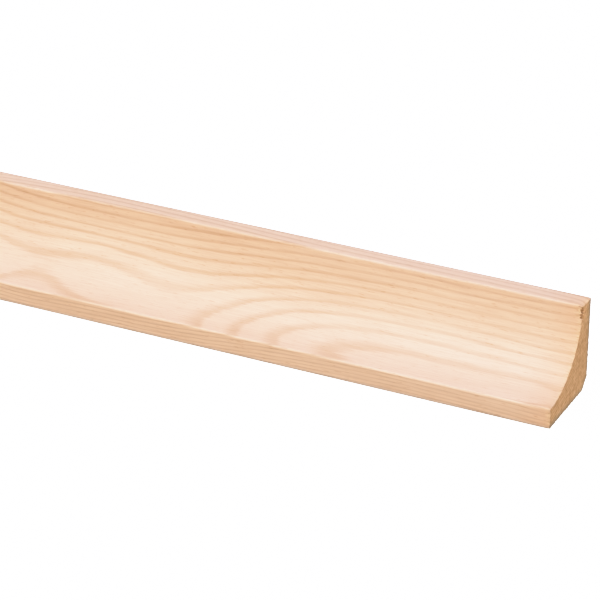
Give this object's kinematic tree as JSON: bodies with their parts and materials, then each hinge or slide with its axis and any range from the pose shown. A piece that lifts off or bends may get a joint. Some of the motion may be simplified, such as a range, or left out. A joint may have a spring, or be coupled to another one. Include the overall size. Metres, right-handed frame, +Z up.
{
  "type": "cove cornice moulding",
  "caption": "Straight length of planed pine cove cornice moulding, with two flat mounting faces at a right angle and a chamfered back corner, to trim where a wall meets a ceiling.",
  "frame": {"origin": "middle of the length, under the centre of the section's box, on the plane it lies on", "axes": "+X along the moulding, +Y out of the wall face, +Z up; the ceiling face is down and the cove faces -Y and up"},
  "size_m": [2.4, 0.04, 0.04],
  "materials": {
    "pine": "planed bare pine, sawn ends"
  },
  "bodies": {
    "root": {"cornice_moulding": "pine"}
  },
  "joints": []
}
